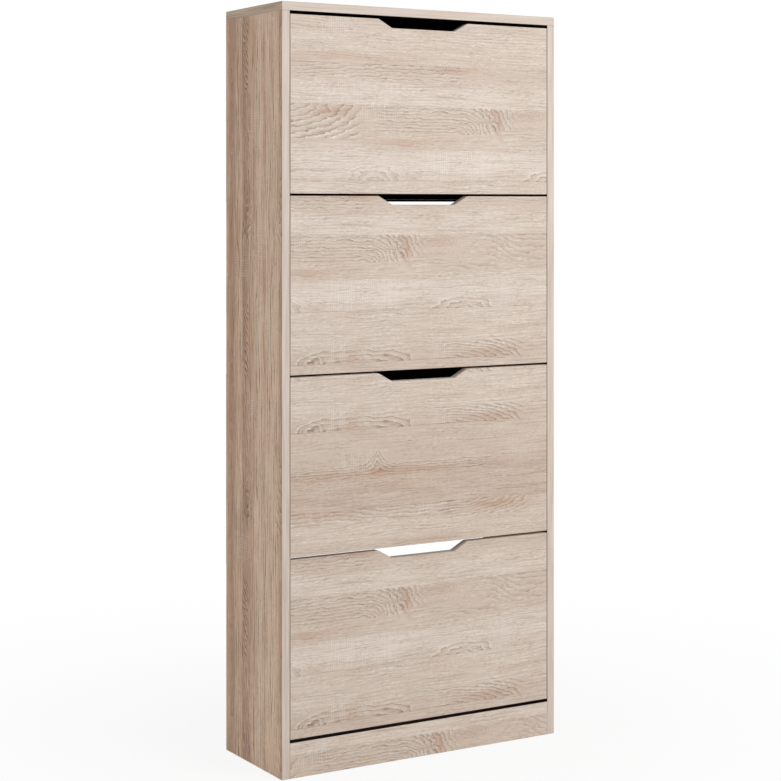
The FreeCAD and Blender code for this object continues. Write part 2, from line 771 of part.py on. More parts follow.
def rack_boards(number):
    """The rack's four boards and the screws that hold the whole rack together."""
    screws = []
    for name, low_y, low_z, high_y, high_z in TRAYS:
        tacks = []
        for sign, side in SIDES:
            start = (
                sign * plate_face,
                axis_y + (low_y + high_y) / 2,
                axis_z(number) + (low_z + high_z) / 2,
            )
            parts = [(g.tack_head, g.tack_cap), (g.tack, g.plate - g.tack_cap + g.tack_long)]
            wide = [
                (g.tack_head + g.seat_fit, g.tack_cap),
                (g.tack + g.seat_fit, g.plate - g.tack_cap + g.tack_long + g.ease),
            ]
            way = (-sign, 0, 0)
            screws.append(stepped(f"{name}_tack_{side}_{number}", parts, start, way))
            tacks.append(stepped(f"{name}_pilot_{side}_{number}", wide, start, way))
        low = (-plate_back, axis_y + low_y, axis_z(number) + low_z)
        high = (plate_back, axis_y + high_y, axis_z(number) + high_z)
        blank = box(f"{name}_blank_{number}", low, high)
        pilots = group(f"{name}_pilots_{number}", tacks)
        node(cut(f"{name}_cut_{number}", blank, pilots), f"{name}_{number}")
    for sign, side in SIDES:
        for at, level in enumerate(SCREW_LEVELS):
            start = (
                sign * screw_x,
                axis_y + flange_back + g.screw_cap,
                axis_z(number) + level,
            )
            parts = [(g.screw_head, g.screw_cap), (g.screw, g.flange_thick + g.screw_long)]
            screws.append(stepped(f"flange_screw_{side}_{at}_{number}", parts, start, (0, -1, 0)))
    node(group(f"rack_screw_group_{number}", screws), f"rack_screws_{number}")


for number in flaps:
    flap_panel(number)
    rack_bracket(number)
    rack_boards(number)

# ---- check every object, then write each sub-part ----

doc.recompute()
for thing in doc.Objects:
    if "Invalid" in thing.State or "Error" in thing.State:
        raise RuntimeError(f"{thing.Name} failed: {thing.State}")
os.makedirs("parts", exist_ok=True)
for thing in nodes:
    if thing.Shape.isNull() or not thing.Shape.isValid() or not thing.Shape.Solids:
        raise RuntimeError(f"{thing.Label} has no sound shape")
for thing in nodes:
    thing.Shape.exportStep(f"parts/{thing.Label}.step")
    print(f"{thing.Label:26s} solids {len(thing.Shape.Solids):3d}  volume {thing.Shape.Volume:12.1f}")
print(len(nodes), "sub-parts")
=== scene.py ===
# %% [markdown]
# # A slim shoe cabinet with four drop-front flaps
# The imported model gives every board, bracket, pin and screw at its real size. This lesson gives
# them their looks: softened arrises, a sawn pale oak print, black moulded racks and bright
# fittings, and then a plain pale studio. Lengths are in metres, Z is up, the front faces -Y.

# %% Load the fixed frame
import math

import bmesh
import bpy
from mathutils import Matrix, Vector


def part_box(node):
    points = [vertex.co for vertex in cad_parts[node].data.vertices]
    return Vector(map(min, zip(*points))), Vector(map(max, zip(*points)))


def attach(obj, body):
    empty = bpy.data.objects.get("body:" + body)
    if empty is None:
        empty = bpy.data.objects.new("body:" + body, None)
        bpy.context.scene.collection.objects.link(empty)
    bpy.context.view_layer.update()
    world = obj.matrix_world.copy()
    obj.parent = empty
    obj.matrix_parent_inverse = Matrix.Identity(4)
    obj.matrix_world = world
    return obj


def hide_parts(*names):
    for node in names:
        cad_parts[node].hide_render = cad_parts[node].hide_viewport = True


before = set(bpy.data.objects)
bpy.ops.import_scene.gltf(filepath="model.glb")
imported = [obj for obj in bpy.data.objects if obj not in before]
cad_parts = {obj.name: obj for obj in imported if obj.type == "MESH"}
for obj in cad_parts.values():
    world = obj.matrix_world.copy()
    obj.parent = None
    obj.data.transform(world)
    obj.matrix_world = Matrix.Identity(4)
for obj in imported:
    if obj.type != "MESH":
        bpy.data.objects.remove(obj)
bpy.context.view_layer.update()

MM = 0.001

# %% [markdown]
# ## Shader maths as formulas
# A node tree is a formula drawn as boxes. It reads more easily written down, so `Wire` wraps one
# socket, and the usual signs between wires add the Math nodes. `Finish` is the node tree of one
# material, or of the world: its `node` method makes any other node from its type, its settings
# and what goes into its sockets.


# %% A wire that can stand in a formula
class Wire:
    """One output socket of a finish's node tree."""

    def __init__(self, finish, socket):
        self.finish = finish
        self.socket = socket

    def math(self, operation, *others):
        """A Math node with this wire in its first socket and any others after it."""
        sockets = dict(enumerate((self, *others)))
        return self.finish.node("ShaderNodeMath", {"operation": operation}, sockets)

    def __add__(self, other):
        return self.math("ADD", other)

    def __sub__(self, other):
        return self.math("SUBTRACT", other)

    def __rsub__(self, other):
        sockets = {0: other, 1: self}
        return self.finish.node("ShaderNodeMath", {"operation": "SUBTRACT"}, sockets)

    def __mul__(self, other):
        return self.math("MULTIPLY", other)

    def __truediv__(self, other):
        return self.math("DIVIDE", other)

    def __pow__(self, other):
        return self.math("POWER", other)

    __radd__ = __add__
    __rmul__ = __mul__


# %% A finish: one node tree and the method that adds its nodes
class Finish:
    """A material, or the world, whose surface is built node by node."""

    def __init__(self, name, world=False):
        kinds = bpy.data.worlds if world else bpy.data.materials
        self.end = "ShaderNodeOutputWorld" if world else "ShaderNodeOutputMaterial"
        self.owner = kinds.new(name)
        self.owner.use_nodes = True
        self.tree = self.owner.node_tree
        self.tree.nodes.clear()

    def node(self, kind, settings=None, sockets=None, out=0):
        made = self.tree.nodes.new(kind)
        for name, value in (settings or {}).items():
            if name == "stops":
                self.set_stops(made.color_ramp, value)
            else:
                setattr(made, name, value)
        for name, value in (sockets or {}).items():
            if isinstance(value, Wire):
                self.tree.links.new(value.socket, made.inputs[name])
            else:
                made.inputs[name].default_value = value
        return Wire(self, made.outputs[out])

    def set_stops(self, ramp, stops):
        while len(ramp.elements) < len(stops):
            ramp.elements.new(1)
        for element, (position, colour) in zip(ramp.elements, stops):
            element.position = position
            element.color = colour

    def close(self, shader):
        """Send the shader to the tree's output, which ends the tree."""
        end = self.tree.nodes.new(self.end)
        self.tree.links.new(shader.socket, end.inputs["Surface"])
        return self.owner


# %% [markdown]
# ## Small shapes of a formula
# A print of wood is made of soft steps, bumps and streaks. Each helper below is one such shape,
# written once and used for every stave of the print.


# %% Steps, bumps, streaks and colours
def linear(red, green, blue):
    """A colour given as it looks on screen, from 0 to 255, as the shader needs it."""
    shares = (red / 255, green / 255, blue / 255)
    return tuple(c / 12.92 if c < 0.04045 else ((c + 0.055) / 1.055) ** 2.4 for c in shares) + (1,)


def step(x, low, high):
    """0 below low, 1 above high, and smooth between."""
    return x.finish.node(
        "ShaderNodeMapRange",
        {"interpolation_type": "SMOOTHSTEP"},
        {"Value": x, "From Min": low, "From Max": high},
    )


def window(x, low, high, soft):
    """1 between low and high, fading to 0 over soft on either side."""
    return step(x, low - soft, low) * (1 - step(x, high, high + soft))


def bump(x, middle, width):
    """A bell of height 1."""
    reach = (x - middle) / width
    return (reach * reach * -1).math("EXPONENT")


def noise(s, t, along, across, detail, seed):
    """Cloudy values from 0 to 1, drawn out to along by across millimetres."""
    finish = s.finish
    place = finish.node(
        "ShaderNodeCombineXYZ", None, {"X": s / along, "Y": t / across, "Z": seed}
    )
    return finish.node(
        "ShaderNodeTexNoise",
        {"noise_dimensions": "3D"},
        {"Vector": place, "Scale": 1.0, "Detail": detail, "Roughness": 0.5},
    )


def blend(amount, one, other):
    """One colour passing into another; 0, 6, 7 and 2 are the Mix node's colour sockets."""
    sockets = {0: amount, 6: one, 7: other}
    return amount.finish.node("ShaderNodeMix", {"data_type": "RGBA"}, sockets, out=2)


# %% [markdown]
# ## The print: sawn pale oak
# The boards of such furniture carry a printed paper. The print is one long sheet of staves laid
# side by side, and every flap is cut from it at a different place, so neighbours differ and some
# repeat. The same is done here: `s` runs along the grain and `t` across it, both in millimetres
# on the sheet, and each board looks at the sheet through its own offset.
#
# A stave's rings are lines of equal value of one smooth field. Straight grain is the field `t`
# itself. Nested tips, arcs and lenses come from fields with a centre, and they fade into the
# straight grain around them.


# %% Figures in the grain
def flowing(s, t, pitch):
    """Nearly straight grain that wanders a little."""
    wander = noise(s, t, 170, 42, 2, 3.1) * 26 + noise(s, t, 46, 11, 2, 7.7) * 7
    return (t + wander) / pitch


def tips(s, t, tip, length, middle, reach, pitch):
    """Nested tips that point along +s."""
    spread = step(s, tip - length, tip + length) * reach
    across = t - middle
    return (across * across + spread * spread) ** 0.5 / pitch


def lens(s, t, middle_s, middle_t, wide, tall, count, squared=1):
    """Nested ovals; squared 2 makes them long and flat-topped."""
    along = ((s - middle_s) / wide) ** (2 * squared)
    across = (t - middle_t) / tall
    return (along + across * across) ** 0.5 * count


def sweep(s, t, start_s, middle_t, wide, tall, count):
    """Straight grain that curves away after start_s, as the end of nested ovals."""
    along = (s - start_s).math("MAXIMUM", 0) / wide
    across = (t - middle_t) / tall
    return (along * along + across * across) ** 0.5 * count


def drop(s, t, start, end, fall, pitch):
    """Straight grain that steps down by fall between start and end."""
    return (t - step(s, start, end) * fall) / pitch


def spike(s, t, middle, width, foot, flat, peak, count):
    """Lines that lie close together and climb over a small pin knot."""
    away = (s - middle).math("ABSOLUTE") / width * -1
    high = away.math("EXPONENT") * peak + flat
    return (foot - t) / high * count


def pleat(s, t, start, lean, pitch):
    """Folds that run nearly straight across the stave."""
    return (s - start - t * lean) / pitch


def slant(s, t, lean, pitch):
    """Feathered lines that run off to one side of the grain."""
    return (t - s * lean) / pitch


FIELDS = {
    "tips": tips, "lens": lens, "sweep": sweep, "drop": drop, "spike": spike, "pleat": pleat,
    "slant": slant,
}
# a closed figure ends at its last ring; this says which of its sizes counts the rings, and how
# far into a ring, from 0 to 1, the blank around them stands
RING_COUNT = {"lens": 4, "spike": 5}
BLANK = 0.5
print("kinds of figure:", ", ".join(FIELDS))

# %% [markdown]
# The sheet's own layout follows: how pale each height is, where the figures lie, where the saw
# left its pale cross marks, and where the wood is stained brown. A figure gives its kind, the
# sizes of that kind, the stretch of the sheet that it fills, and its strength. A hatch gives its
# stretch and strength, and a stain its middle, its reach both ways and its strength.
#
# The last line is the grain between them: how far apart the plain lines are and how strong, how
# crisp a figure's rings are, how strong and how wide the fine streaks, and how strong the clouds.

# %% The sheet that the flaps are cut from
FRONT_SHEET = {
    "tone": [
        (-90, 0.46), (-45, 0.60), (-6, 0.50), (-3, 0.40), (12, 0.40), (35, 0.66), (72, 0.70),
        (74, 0.46), (105, 0.46), (135, 0.52), (160, 0.72), (182, 0.82), (210, 0.62),
        (212, 0.70), (250, 0.60), (268, 0.68), (292, 0.44), (305, 0.38),
        (308, 0.46), (352, 0.44), (374, 0.34), (388, 0.16), (405, 0.26), (452, 0.26),
        (455, 0.36), (484, 0.60), (505, 0.62), (530, 0.44),
    ],
    "figures": [
        ("tips", (196, 52, 124, 56, 6.2), (-10, 228, 73, 122), 1.0),
        ("pleat", (214, 0.55, 12.0), (230, 264, 73, 112), 1.0),
        ("lens", (314, 84, 42, 9.0, 3, 2), (272, 356, 73, 93), 0.8),
        ("drop", (430, 500, 30, 11.0), (440, 560, 73, 124), 0.6),
        ("lens", (375, 214, 66, 23, 3), (312, 438, 188, 211), 0.9),
        ("lens", (-30, 214, 54, 32, 3), (-84, 24, 182, 211), 0.6),
        ("sweep", (-225, 61, 168, 76, 8), (-210, -80, 73, 134), 1.1),
        ("drop", (-230, 10, -16, 6.5), (-180, 150, -4, 24), 0.9),
        ("pleat", (70, 2.2, 8.0), (66, 118, -4, 7), 1.0),
        ("lens", (136, 310, 122, 26, 3, 2), (14, 262, 281, 306), 1.0),
        ("lens", (44, 307, 30, 18, 3), (12, 92, 287, 306), 1.0),
        ("sweep", (340, 315, 155, 40, 8), (330, 490, 274, 306), 1.1),
        ("spike", (183, 12, 394, 20, 32, 4), (20, 420, 342, 394), 1.1),
        ("sweep", (360, 444, 150, 40, 8), (340, 505, 453, 484), 1.0),
        ("drop", (60, 250, 14, 7.0), (-30, 340, 453, 476), 0.9),
        ("drop", (330, 470, -14, 6.0), (150, 600, -74, -52), 0.7),
    ],
    "hatches": [
        (84, 226, 158, 207, 1.0), (440, 478, 182, 214, 0.8), (-143, 18, 28, 70, 0.7),
        (-60, 60, 76, 96, 0.8), (72, 112, 260, 302, 0.8), (152, 176, 258, 286, 0.7),
        (294, 338, 280, 302, 0.8), (-139, -60, -88, -60, 0.8), (112, 162, 350, 384, 0.8),
        (256, 372, 374, 420, 0.45), (476, 534, 344, 384, 0.6), (36, 62, 454, 476, 0.7),
        (275, 298, 450, 476, 0.8),
    ],
    "stains": [
        (248, 98, 8, 20, 1.0), (234, 80, 7, 8, 0.8), (132, 300, 17, 5, 0.7), (183, 388, 14, 8, 1.0),
        (157, 2, 50, 5, 0.9), (40, 140, 80, 7, 0.7), (314, 84, 36, 8, 0.4),
        (435, 298, 50, 7, 0.7), (-120, 84, 46, 10, 0.9), (445, 466, 70, 11, 0.9),
        (300, 520, 90, 7, 0.6), (-90, -14, 120, 9, 0.5), (250, 387, 120, 7, 0.6),
        (60, 388, 90, 7, 0.5), (250, 412, 70, 12, 0.4), (60, 458, 60, 6, 0.6),
    ],
    "seams": [-4, 73, 211, 306, 453],
    "grain": {"pitch": 5.4, "lined": 1.0, "sharp": 3.4, "streaked": 0.8, "wide": 1.8, "clouded": 0.5},
}
print("figures on the front sheet:", len(FRONT_SHEET["figures"]))

# %% [markdown]
# The side panels show another sheet, with its grain upright. It has one dark stave edge a third
# of the way from the back, with feathered marks and small knots that come again every 520 mm.

# %% The sheet that the side panels are cut from
SIDE_REPEAT = 520
SIDE_SHEET = {
    "tone": [
        (0, 0.36), (12, 0.22), (22, 0.02), (32, 0.04), (46, 0.46), (58, 0.60), (69, 0.40),
        (71, 0.00), (82, 0.06), (100, 0.34), (118, 0.52), (128, 0.80), (142, 1.00), (150, 0.82),
        (158, 0.56), (168, 1.00), (182, 0.80), (202, 1.00), (214, 0.62), (221, 0.16), (227, 0.00),
    ],
    "figures": [
        ("slant", (0.62, 9.0), (34, 150, 71, 92), 1.9),
        ("tips", (372, 30, 88, 18, 6.5), (330, 420, 71, 108), 0.9),
        ("slant", (-0.55, 9.0), (366, 410, 71, 92), 0.8),
        ("lens", (400, 90, 26, 14, 2), (376, 424, 74, 104), 0.8),
        ("sweep", (300, 222, 120, 26, 5), (270, 420, 198, 226), 0.9),
        ("lens", (200, 24, 90, 14, 3), (100, 300, 8, 40), 0.8),
        ("slant", (0.16, 9.0), (180, 330, 71, 100), 1.0),
    ],
    "hatches": [
        (20, 70, 140, 205, 0.7), (200, 260, 100, 150, 0.8), (405, 460, 112, 170, 1.0),
        (462, 500, 40, 100, 0.8), (300, 350, 130, 180, 0.6),
    ],
    "stains": [
        (386, 80, 24, 8, 1.0), (90, 78, 80, 6, 0.8), (150, 24, 150, 8, 1.0), (430, 22, 60, 9, 0.9),
        (300, 74, 90, 5, 0.6), (250, 160, 120, 4, 0.5), (60, 220, 120, 5, 0.6),
    ],
    "seams": [70],
    "grain": {"pitch": 8.5, "lined": 2.3, "sharp": 2.8, "streaked": 1.9, "wide": 4.0, "clouded": 1.2},
}
print("figures on the side sheet:", len(SIDE_SHEET["figures"]))

# %% [markdown]
# Colours and clouds come next. Tan, fawn and pale make the ground, and ring, stain and chalk are
# drawn over it. A cloud is a field of noise, and each gives its length along and across the
# grain in millimetres, its detail, and its own number, so that no two look alike.

# %% Colours and clouds of the sheet
FRONT_TONES = {
    "tan": linear(186, 163, 145), "fawn": linear(206, 189, 174), "pale": linear(224, 212, 200),
    "ring": linear(124, 97, 79), "stain": linear(188, 147, 118), "chalk": linear(236, 229, 221),
}
SIDE_TONES = {
    "tan": linear(184, 147, 115), "fawn": linear(209, 175, 145), "pale": linear(228, 199, 171),
    "ring": linear(98, 64, 42), "stain": linear(182, 126, 92), "chalk": linear(234, 216, 198),
}
CLOUDS = {
    "stretch": (56, 24, 2, 1.3), "ripple": (15, 7, 2, 2.9),
    "sway": (44, 18, 2, 5.9), "shiver": (13, 6, 2, 6.6), "uneven": (26, 9, 2, 17.6),
    "wild": (130, 14, 2, 9.1), "broken": (22, 3.0, 2, 11.7), "warm": (90, 7, 3, 14.2),
    "pores": (8.5, 1.25, 1, 21.7), "porous": (60, 26, 1, 23.1), "flakes": (11, 1.5, 1, 27.4),
    "ragged": (5, 26, 2, 31.5), "mottle": (110, 14, 3, 41.4),
}


class Spot:
    """Where a board looks at the sheet, and the clouds there; seed makes a board its own."""

    def __init__(self, s, t, seed, repeat):
        self.s = s
        self.t = t
        self.seed = seed
        # figures, stains and saw marks are seen through a slight warp, which wobbles their lines
        along = s + self.cloud("stretch") * 18 + self.cloud("ripple") * 6 - 12
        self.warped_s = (along / repeat).math("FRACT") * repeat if repeat else along
        self.warped_t = t + self.cloud("sway") * 6 + self.cloud("shiver") * 3 - 4.5

    def cloud(self, name, lean=0.0):
        """One cloud; with a lean its grains run off to one side."""
        along, across, detail, number = CLOUDS[name]
        t = self.t + self.s * lean if lean else self.t
        return noise(self.s, t, along, across, detail, self.seed + number)


print("clouds:", len(CLOUDS))

# %% [markdown]
# A ring darkens slowly and ends at a crisp edge: the whole rings are dropped from the field and
# the rest is raised to a power. Its pale early wood is the same curve the other way round. Each
# figure fades out over some millimetres along the grain and over one across it.

# %% Rings
FIGURE_DEPTH = 0.82
FADE_ALONG, FADE_ACROSS = 34, 1.0


def draw_figures(spot, sheet):
    """Where figures lie, how dark their rings are, and how pale the wood between them is."""
    figured = drawn = lit = spot.s * 0
    uneven = (spot.cloud("uneven") - 0.5) * 1.5
    for kind, sizes, (low_s, high_s, low_t, high_t), strength in sheet["figures"]:
        field = FIELDS[kind](spot.warped_s, spot.warped_t, *sizes) + uneven
        if kind in RING_COUNT:
            field = field.math("MINIMUM", sizes[RING_COUNT[kind]] + BLANK)
        here = window(spot.warped_s, low_s, high_s, FADE_ALONG)
        here = here * window(spot.t, low_t, high_t, FADE_ACROSS)
        figured = figured.math("MAXIMUM", here)
        rise = field.math("FRACT")
        drawn = drawn + here * strength * FIGURE_DEPTH * rise ** sheet["grain"]["sharp"]
        lit = lit + here * strength * (1 - rise) ** 4
    return figured, drawn, lit


def draw_rings(spot, sheet, figured, drawn):
    """The figures' rings with plain grain around them, and a line at each seam of two staves."""
    grain = sheet["grain"]
    lines = flowing(spot.s, spot.t, grain["pitch"]).math("FRACT") ** 3.5
    plain = lines * (step(spot.cloud("wild"), 0.40, 0.66) * 0.50 + 0.14) * grain["lined"]
    broken = step(spot.cloud("broken"), 0.30, 0.62)
    rings = (drawn + plain * (1 - figured * 0.8)) * (broken * 0.55 + 0.45)
    for seam in sheet["seams"]:
        rings = rings + bump(spot.t, seam, 0.9) * broken * 0.35
    return rings


print("ring curves ready")

# %% [markdown]
# Over the rings lie brown stains, short dark pores, and the marks of the saw: pale threads
# across the grain every 4.7 mm and fainter ones along it every 3.6 mm, in ragged patches.

# %% Stains, pores and saw marks
CROSS_MM, RUNG_MM = 4.7, 3.6
PATCH_ALONG, PATCH_ACROSS = 12, 7
LEAN = 0.10


def draw_stains(spot, sheet):
    """The sheet's own stains, and a faint warmth that comes and goes."""
    stained = spot.s * 0
    for middle_s, middle_t, wide, tall, strength in sheet["stains"]:
        across = bump(spot.warped_t, middle_t, tall)
        stained = stained + bump(spot.warped_s, middle_s, wide) * across * strength
    return stained + step(spot.cloud("warm"), 0.52, 0.72) * 0.24


def draw_pores(spot):
    """Short dark pores, thicker in some places than in others."""
    pores = step(spot.cloud("pores", LEAN), 0.54, 0.70)
    return pores * (step(spot.cloud("porous"), 0.32, 0.62) * 0.75 + 0.25)


def draw_saw_marks(spot, sheet):
    """Pale threads both ways, in the patches that the sheet gives."""
    wobble = noise(spot.s, spot.t, 9, 60, 1, 2.2) * 3
    cross = (spot.s * (2 * math.pi / CROSS_MM) + wobble).math("SINE")
    rungs = (spot.t * (2 * math.pi / RUNG_MM)).math("SINE")
    weave = step(cross, 0.1, 1.0) * 0.9 + step(rungs, 0.3, 1.0) * 0.35
    sawn = spot.s * 0
    for low_s, high_s, low_t, high_t, strength in sheet["hatches"]:
        here = window(spot.warped_s, low_s, high_s, PATCH_ALONG)
        here = here * window(spot.warped_t, low_t, high_t, PATCH_ACROSS)
        sawn = sawn + here * strength
    return sawn * weave * step(spot.cloud("ragged"), 0.36, 0.58)


print("marks ready")

# %% [markdown]
# Now the print itself. Everything is a share between 0 and 1 until shares become colours: first
# the ground by its tone, then stains, rings with pores, and the saw's chalky marks on top.


# %% From sheet to colour
def stave_tone(t, stops):
    """How pale the sheet is at each height across its staves."""
    low, high = stops[0][0], stops[-1][0]
    ramp = [((at - low) / (high - low), (tone, tone, tone, 1)) for at, tone in stops]
    share = t.finish.node(
        "ShaderNodeMapRange", None, {"Value": t, "From Min": low, "From Max": high}
    )
    return t.finish.node("ShaderNodeValToRGB", {"stops": ramp}, {"Fac": share})


def oak_print(s, t, sheet, tones, seed=0.0, repeat=None):
    """The colour of the sheet at s along the grain and t across it, and where its pores are."""
    spot = Spot(s, t, seed, repeat)
    grain = sheet["grain"]
    figured, drawn, lit = draw_figures(spot, sheet)
    rings = draw_rings(spot, sheet, figured, drawn)
    pores = draw_pores(spot)
    clouds = (spot.cloud("mottle") - 0.5) * grain["clouded"]
    streaks = (noise(s, t, 60, grain["wide"], 3, seed + 45.3) - 0.5) * grain["streaked"]
    flakes = step(spot.cloud("flakes", LEAN), 0.54, 0.72)
    tone = stave_tone(t, sheet["tone"]) + clouds + streaks + flakes * 0.26 + lit * 0.30
    base = blend(step(tone, 0.0, 0.5), tones["tan"], tones["fawn"])
    base = blend(step(tone, 0.5, 1.0), base, tones["pale"])
    brown = draw_stains(spot, sheet).math("MINIMUM", 1) * 0.65
    base = blend(brown, base, tones["stain"])
    dark = (rings * 0.85 + pores * 0.34).math("MINIMUM", 0.9)
    base = blend(dark, base, tones["ring"])
    base = blend(draw_saw_marks(spot, sheet) * 0.36, base, tones["chalk"])
    return base, pores


print("print ready")

# %% [markdown]
# ## Finishes
# A melamine board is the print under a thin hard resin, pressed against a lightly textured plate:
# satin, a little duller in the pores, with a relief of a few hundredths of a millimetre.


# %% Melamine board
OBJECT_SOCKET = 3


def place_of(finish):
    """Where a point of the surface is, in millimetres, along x, y and z."""
    spot = finish.node("ShaderNodeTexCoord", out=OBJECT_SOCKET)
    parts = [finish.node("ShaderNodeSeparateXYZ", None, {"Vector": spot}, out=at) for at in range(3)]
    return [part * (1 / MM) for part in parts]


def shine(finish, colour, relief, rough, depth, metal=0.0, gloss=0.5):
    """The shader of a surface, from its colour, its relief and how rough it is."""
    bumped = finish.node(
        "ShaderNodeBump", None, {"Height": relief, "Distance": depth, "Strength": 0.6}
    )
    return finish.node(
        "ShaderNodeBsdfPrincipled",
        None,
        {
            "Base Color": colour, "Roughness": rough, "Normal": bumped, "Metallic": metal,
            "Specular IOR Level": gloss,
        },
    )


def melamine(name, along, across, sheet, tones, shift=(0.0, 0.0), seed=0.0, repeat=None):
    """A board's face; along and across each give an axis, the sheet's start on it and its way."""
    finish = Finish(name)
    place = place_of(finish)
    s = (place[along[0]] - along[1] / MM) * along[2] + shift[0]
    t = (place[across[0]] - across[1] / MM) * across[2] + shift[1]
    colour, pores = oak_print(s, t, sheet, tones, seed, repeat)
    return finish.close(shine(finish, colour, 1 - pores, pores * 0.08 + 0.45, 0.06 * MM))


print("melamine ready")

# %% [markdown]
# The flaps share one sheet. Flaps 2 and 4 are cut at the same place, flap 3 starts 205 mm lower
# on it, and flap 1 starts 207 mm to the left and 89 mm higher.

# %% One face finish for each flap
X, Y, Z = 0, 1, 2
FLAP_CUTS = {1: (-207.0, -88.6), 2: (0.0, 0.0), 3: (0.0, 205.0), 4: (0.0, 0.0)}
flap_faces = {}
for number, shift in FLAP_CUTS.items():
    low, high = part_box(f"flap_panel_{number}")
    flap_faces[number] = melamine(
        f"flap_face_{number}", (X, low.x, 1), (Z, high.z, -1), FRONT_SHEET, FRONT_TONES, shift
    )

_, side_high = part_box("left_side_panel")
side_faces = melamine(
    "side_face", (Z, side_high.z, -1), (Y, side_high.y, -1), SIDE_SHEET, SIDE_TONES, (16, 0),
    seed=4.0, repeat=SIDE_REPEAT,
)
top_low, top_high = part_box("top_panel")
top_face = melamine(
    "top_face", (X, top_low.x, 1), (Y, top_high.y, -1), FRONT_SHEET, FRONT_TONES, (-60, 150)
)
shelf_face = melamine(
    "shelf_face", (X, top_low.x, 1), (Z, 0.0, 1), FRONT_SHEET, FRONT_TONES,
    seed=2.0, repeat=560,
)
plinth_low, plinth_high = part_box("plinth_board")
plinth_face = melamine(
    "plinth_face", (X, plinth_low.x, 1), (Z, plinth_high.z, -1), FRONT_SHEET, FRONT_TONES, (-75, 49)
)
print("faces:", len(flap_faces) + 4)

# %% [markdown]
# A board's thin sides carry an edge band: a strip of the same resin with straight streaks along
# its length. Where band and face meet, the glue and the filed arris leave a fine darker line.

# %% Edge bands and arrises
def oak_band(name, axis, tone):
    """Straight streaks along one axis; tone gives the dark and the pale colour."""
    finish = Finish(name)
    place = place_of(finish)
    along = place.pop(axis)
    across = place[0] + place[1] * 1.7
    streaks = noise(along, across, 90, 1.1, 3, 12.5)
    clouds = noise(along, across, 140, 9, 2, 33.1)
    pale = step(streaks * 0.6 + clouds * 0.4, 0.30, 0.70)
    colour = blend(pale, linear(*tone[0]), linear(*tone[1]))
    return finish.close(shine(finish, colour, streaks, streaks * 0.08 + 0.46, 0.05 * MM))


BAND_TONES = ((193, 175, 160), (218, 204, 192))
END_TONES = ((150, 122, 100), (214, 190, 168))
ARRIS_TONES = ((166, 142, 122), (198, 175, 156))
bands = [
    oak_band("edge_band_x", X, BAND_TONES), oak_band("edge_band_y", Y, END_TONES),
    oak_band("edge_band_z", Z, BAND_TONES),
]
arris = oak_band("arris", Z, ARRIS_TONES)
print("edge finishes:", len(bands) + 1)

# %% [markdown]
# The racks' side brackets are moulded in black plastic. Moulds are spark-eroded, so the surface
# is finely pitted and dull, with a few brighter rubbed places.


# %% Black moulded plastic
def black_plastic():
    finish = Finish("black_moulding")
    x, y, z = place_of(finish)
    pits = noise(x + z, y - z, 0.5, 0.5, 2, 2.0)
    clouds = noise(x + y, z, 30, 30, 3, 8.0)
    rubbed = step(noise(y + x, z - x, 9, 2.5, 3, 15.0), 0.60, 0.74)
    colour = blend(clouds, linear(19, 19, 20), linear(34, 34, 35))
    colour = blend(rubbed * 0.35, colour, linear(62, 62, 63))
    rough = pits * 0.12 + 0.42 - rubbed * 0.1
    return finish.close(shine(finish, colour, pits, rough, 0.05 * MM))


moulded_black = black_plastic()
print("finish:", moulded_black.name)

# %% [markdown]
# Bolts, pins, nails and screws are bright zinc-plated steel, and the cam housings are cast zinc.
# Metal shows mostly in its roughness: drawn steel has fine turning lines, a casting is grainy.


# %% Steel and zinc
def metal(name, dull, bright, grain, rough):
    """Metal from its dull and bright colours, its grain in two directions and its roughness."""
    finish = Finish(name)
    x, y, z = place_of(finish)
    turned = noise(x + y * 0.7, z - y * 0.3, grain[0], grain[1], 3, 4.0)
    worn = noise(x - z, y + z, 3.0, 3.0, 3, 17.0)
    colour = blend(worn, linear(*dull), linear(*bright))
    relief = turned * 0.7 + worn * 0.3
    surface = shine(finish, colour, relief, turned * 0.2 + rough, 0.03 * MM, metal=1.0)
    return finish.close(surface)


bright_steel = metal("plated_steel", (150, 152, 156), (196, 198, 200), (4.0, 0.25), 0.22)
cast_zinc = metal("cast_zinc", (120, 122, 125), (168, 169, 171), (0.5, 0.5), 0.38)
print("metals:", bright_steel.name, cast_zinc.name)

# %% [markdown]
# Hidden pieces have finishes too: beech blocks and dowels with their short dark flecks, brown
# fibre-board sheets, and black rubber buffers with a dusty bloom.


# %% Beech, fibre-board and rubber
def beech_wood():
    finish = Finish("beech_wood")
    x, y, z = place_of(finish)
    flecks = step(noise(x, y + z, 3.2, 0.6, 2, 6.0), 0.56, 0.70)
    streaks = noise(x, y + z, 60, 2.0, 3, 9.0)
    colour = blend(streaks, linear(196, 152, 110), linear(222, 184, 142))
    colour = blend(flecks * 0.6, colour, linear(150, 104, 70))
    return finish.close(shine(finish, colour, streaks - flecks, streaks * 0.1 + 0.6, 0.1 * MM))


def fibre_board():
    finish = Finish("fibre_board")
    x, y, z = place_of(finish)
    fibres = noise(x + z * 0.6, z - x * 0.6, 5.0, 0.45, 3, 3.0)
    crossed = noise(x - z * 0.8, z + x * 0.5, 0.5, 4.0, 3, 11.0)
    clouds = noise(x, z, 45, 30, 3, 19.0)
    felt = fibres * 0.5 + crossed * 0.5
    colour = blend(step(felt, 0.36, 0.64), linear(112, 80, 54), linear(150, 114, 82))
    colour = blend(step(clouds, 0.40, 0.70) * 0.4, colour, linear(168, 132, 98))
    return finish.close(shine(finish, colour, felt, clouds * 0.15 + 0.62, 0.12 * MM))


